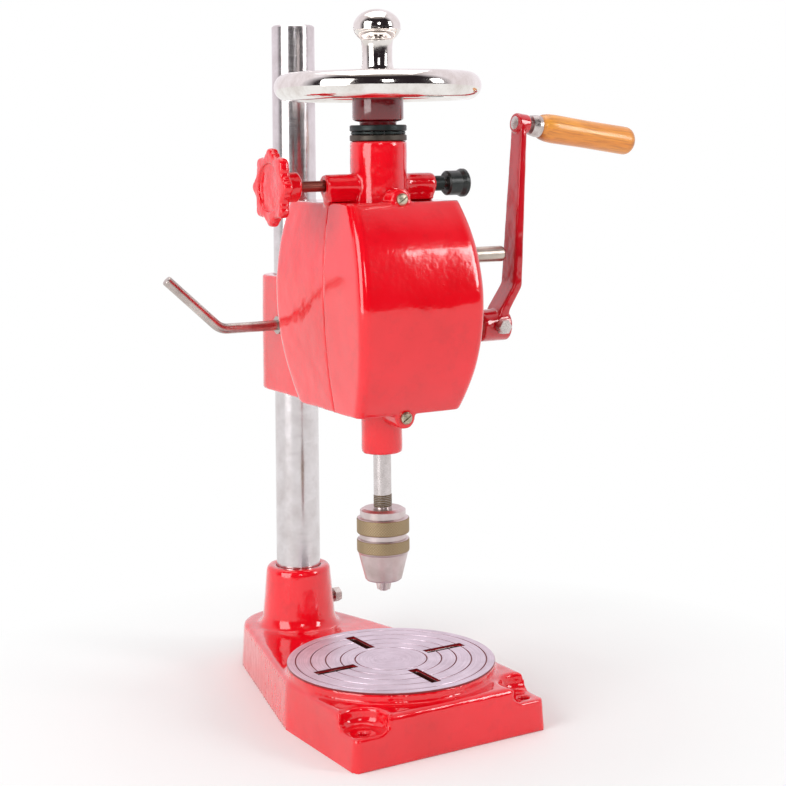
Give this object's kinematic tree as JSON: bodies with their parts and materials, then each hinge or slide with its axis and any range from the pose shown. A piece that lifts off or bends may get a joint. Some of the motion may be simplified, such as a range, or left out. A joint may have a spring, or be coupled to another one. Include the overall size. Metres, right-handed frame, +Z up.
{
  "type": "hand crank post drill",
  "caption": "Hand-cranked bench drill: geared head on a round column, flywheel and ball knob above, keyless chuck below, cast base with a slotted round table.",
  "frame": {"origin": "on the base's underside, below the centre of the round table", "axes": "+Z up along the spindle; -Y towards the user; +X towards the crank"},
  "size_m": [0.3501, 0.28, 0.5183],
  "materials": {
    "base_casting": "glossy red enamel; the round table is machined bright",
    "column": "ground steel, lightly scratched",
    "column_lock_bolt": "bright drawn steel",
    "gear_housing": "glossy red enamel over the rough casting",
    "front_cover": "glossy red enamel over the rough casting",
    "cover_screws": "plated slotted screws, tarnished",
    "upper_spindle_bush": "plain bearing bronze",
    "lower_spindle_bush": "plain bearing bronze",
    "crank_shaft_bush": "plain bearing bronze",
    "speed_shaft_bush": "plain bearing bronze",
    "thrust_lower_race": "oiled dark bearing steel",
    "thrust_upper_race": "oiled dark bearing steel",
    "thrust_cage": "pressed steel",
    "thrust_balls": "polished bearing balls",
    "clamp_washer": "bright drawn steel",
    "clamp_lever": "bright bent rod",
    "spindle": "ground steel",
    "spindle_key": "bright drawn steel",
    "bevel_pinion": "bright drawn steel",
    "bevel_gear": "cut cast iron, oiled",
    "speed_shaft": "turned steel",
    "speed_pinion": "bright drawn steel",
    "speed_shaft_pins": "bright drawn steel",
    "speed_shaft_collar": "bright drawn steel",
    "crank_shaft": "turned steel",
    "crank_gear": "cut cast iron, oiled",
    "crank_gear_pin": "bright drawn steel",
    "crank_shaft_collar": "bright drawn steel",
    "crank_arm": "glossy red enamel, worn at the edges",
    "crank_set_screw": "bright drawn steel",
    "handle_pin": "bright drawn steel",
    "handle_ferrule": "bright drawn steel",
    "handle_grip": "varnished orange-yellow hardwood, worn",
    "flywheel": "chrome plated",
    "wheel_hub": "dark red enamel",
    "wheel_grub_screw": "bright drawn steel",
    "knob_stud": "bright drawn steel",
    "ball_knob": "chrome plated",
    "chuck_body": "satin steel, knurled",
    "chuck_sleeve": "satin steel, knurled",
    "chuck_ring": "bright drawn steel",
    "chuck_jaw_1": "bright drawn steel",
    "chuck_jaw_2": "bright drawn steel",
    "chuck_jaw_3": "bright drawn steel",
    "lock_handwheel": "glossy red enamel over the rough casting",
    "lock_screw": "steel stained with red paint",
    "brake_shoe": "plain brass",
    "plunger_pin": "bright drawn steel",
    "plunger_spring": "bright drawn steel",
    "plunger_bush": "red enamel",
    "plunger_knob": "black moulded knob"
  },
  "bodies": {
    "base": {"base_casting": "base_casting", "column_lock_bolt": "column_lock_bolt"},
    "column": {"column": "column"},
    "head": {"gear_housing": "gear_housing", "front_cover": "front_cover", "cover_screws": "cover_screws", "upper_spindle_bush": "upper_spindle_bush", "lower_spindle_bush": "lower_spindle_bush", "crank_shaft_bush": "crank_shaft_bush", "speed_shaft_bush": "speed_shaft_bush", "thrust_lower_race": "thrust_lower_race", "plunger_bush": "plunger_bush"},
    "pinion": {"bevel_pinion": "bevel_pinion", "spindle_key": "spindle_key"},
    "spindle": {"spindle": "spindle", "flywheel": "flywheel", "wheel_hub": "wheel_hub", "wheel_grub_screw": "wheel_grub_screw", "knob_stud": "knob_stud", "chuck_body": "chuck_body"},
    "ball_knob": {"ball_knob": "ball_knob"},
    "thrust_cage": {"thrust_cage": "thrust_cage", "thrust_balls": "thrust_balls"},
    "thrust_race": {"thrust_upper_race": "thrust_upper_race"},
    "speed_shaft": {"speed_shaft": "speed_shaft", "speed_pinion": "speed_pinion", "bevel_gear": "bevel_gear", "speed_shaft_pins": "speed_shaft_pins", "speed_shaft_collar": "speed_shaft_collar"},
    "crank": {"crank_shaft": "crank_shaft", "crank_gear": "crank_gear", "crank_gear_pin": "crank_gear_pin", "crank_shaft_collar": "crank_shaft_collar", "crank_arm": "crank_arm", "crank_set_screw": "crank_set_screw", "handle_pin": "handle_pin", "handle_ferrule": "handle_ferrule"},
    "handle_grip": {"handle_grip": "handle_grip"},
    "chuck_sleeve": {"chuck_sleeve": "chuck_sleeve", "chuck_ring": "chuck_ring"},
    "chuck_jaw_1": {"chuck_jaw_1": "chuck_jaw_1"},
    "chuck_jaw_2": {"chuck_jaw_2": "chuck_jaw_2"},
    "chuck_jaw_3": {"chuck_jaw_3": "chuck_jaw_3"},
    "brake_shoe": {"brake_shoe": "brake_shoe"},
    "lock_handwheel": {"lock_handwheel": "lock_handwheel", "lock_screw": "lock_screw"},
    "clamp_washer": {"clamp_washer": "clamp_washer"},
    "clamp_lever": {"clamp_lever": "clamp_lever"},
    "plunger": {"plunger_pin": "plunger_pin", "plunger_knob": "plunger_knob", "plunger_spring": "plunger_spring"}
  },
  "joints": [
    {"name": "column_swivel", "type": "hinge", "parent": "base", "child": "column", "pos_m": [0, 0.145, 0.1], "axis": [0, 0, 1], "continuous": true},
    {"name": "head_height", "type": "slide", "parent": "column", "child": "head", "axis": [0, 0, 1], "range_m": [-0.048, 0.195]},
    {"name": "spindle_spin", "type": "hinge", "parent": "head", "child": "pinion", "pos_m": [-0.00531, 0.0001, 0.3], "axis": [0, 0, 1], "continuous": true},
    {"name": "spindle_feed", "type": "slide", "parent": "pinion", "child": "spindle", "axis": [0, 0, 1], "range_m": [0, 0.035]},
    {"name": "ball_knob_spin", "type": "hinge", "parent": "spindle", "child": "ball_knob", "pos_m": [-0.00531, 0.0001, 0.505], "axis": [0, 0, 1], "continuous": true},
    {"name": "thrust_cage_spin", "type": "hinge", "parent": "head", "child": "thrust_cage", "pos_m": [-0.00531, 0.0001, 0.4262], "axis": [0, 0, 1], "continuous": true},
    {"name": "thrust_race_spin", "type": "hinge", "parent": "head", "child": "thrust_race", "pos_m": [-0.00531, 0.0001, 0.43], "axis": [0, 0, 1], "continuous": true},
    {"name": "speed_shaft_spin", "type": "hinge", "parent": "head", "child": "speed_shaft", "pos_m": [0.04465, -0.00173, 0.3328], "axis": [0.9993, -0.0366, 0], "continuous": true},
    {"name": "crank_spin", "type": "hinge", "parent": "head", "child": "crank", "pos_m": [0.05465, -0.0021, 0.2788], "axis": [0.9993, -0.0366, 0], "continuous": true},
    {"name": "handle_spin", "type": "hinge", "parent": "crank", "child": "handle_grip", "pos_m": [0.17845, -0.00664, 0.42404], "axis": [0.9891, -0.0363, -0.1426], "continuous": true},
    {"name": "chuck_twist", "type": "hinge", "parent": "spindle", "child": "chuck_sleeve", "pos_m": [-0.00531, 0.0001, 0.12], "axis": [0, 0, 1], "range_deg": [0, 900.5]},
    {"name": "jaw_1_slide", "type": "slide", "parent": "spindle", "child": "chuck_jaw_1", "axis": [0.2586, -0.0095, 0.9659], "range_m": [0, 0.005]},
    {"name": "jaw_2_slide", "type": "slide", "parent": "spindle", "child": "chuck_jaw_2", "axis": [-0.1211, 0.2287, 0.9659], "range_m": [0, 0.005]},
    {"name": "jaw_3_slide", "type": "slide", "parent": "spindle", "child": "chuck_jaw_3", "axis": [-0.1375, -0.2193, 0.9659], "range_m": [0, 0.005]},
    {"name": "lock_turn", "type": "hinge", "parent": "brake_shoe", "child": "lock_handwheel", "pos_m": [-0.06527, 0.0023, 0.388], "axis": [-0.9993, 0.0366, 0], "range_deg": [-166, 1441]},
    {"name": "lock_travel", "type": "slide", "parent": "head", "child": "brake_shoe", "axis": [-0.9993, 0.0366, 0], "range_m": [-0.00057, 0.005]},
    {"name": "clamp_turn", "type": "hinge", "parent": "clamp_washer", "child": "clamp_lever", "pos_m": [-0.04089, 0.12148, 0.2758], "axis": [-0.9993, 0.0366, 0], "range_deg": [0, 150.5]},
    {"name": "clamp_travel", "type": "slide", "parent": "head", "child": "clamp_washer", "axis": [-0.9993, 0.0366, 0], "range_m": [0, 0.0004167]},
    {"name": "plunger_pull", "type": "slide", "parent": "head", "child": "plunger", "axis": [0.9993, -0.0366, 0], "range_m": [0, 0.006], "stiffness_N_per_m": 1500, "deforming": ["plunger_spring"]}
  ],
  "couplings": [
    {"joint": "thrust_race_spin", "follows": "spindle_spin", "ratio": 1},
    {"joint": "thrust_cage_spin", "follows": "spindle_spin", "ratio": 0.5},
    {"joint": "speed_shaft_spin", "follows": "spindle_spin", "ratio": 0.5},
    {"joint": "crank_spin", "follows": "spindle_spin", "ratio": -0.25},
    {"joint": "chuck_twist", "follows": "jaw_1_slide", "rad_per_m": 3141.6},
    {"joint": "jaw_2_slide", "follows": "jaw_1_slide", "ratio": 1},
    {"joint": "jaw_3_slide", "follows": "jaw_1_slide", "ratio": 1},
    {"joint": "lock_turn", "follows": "lock_travel", "rad_per_m": 5026.5},
    {"joint": "clamp_turn", "follows": "clamp_travel", "rad_per_m": 6283.2}
  ]
}
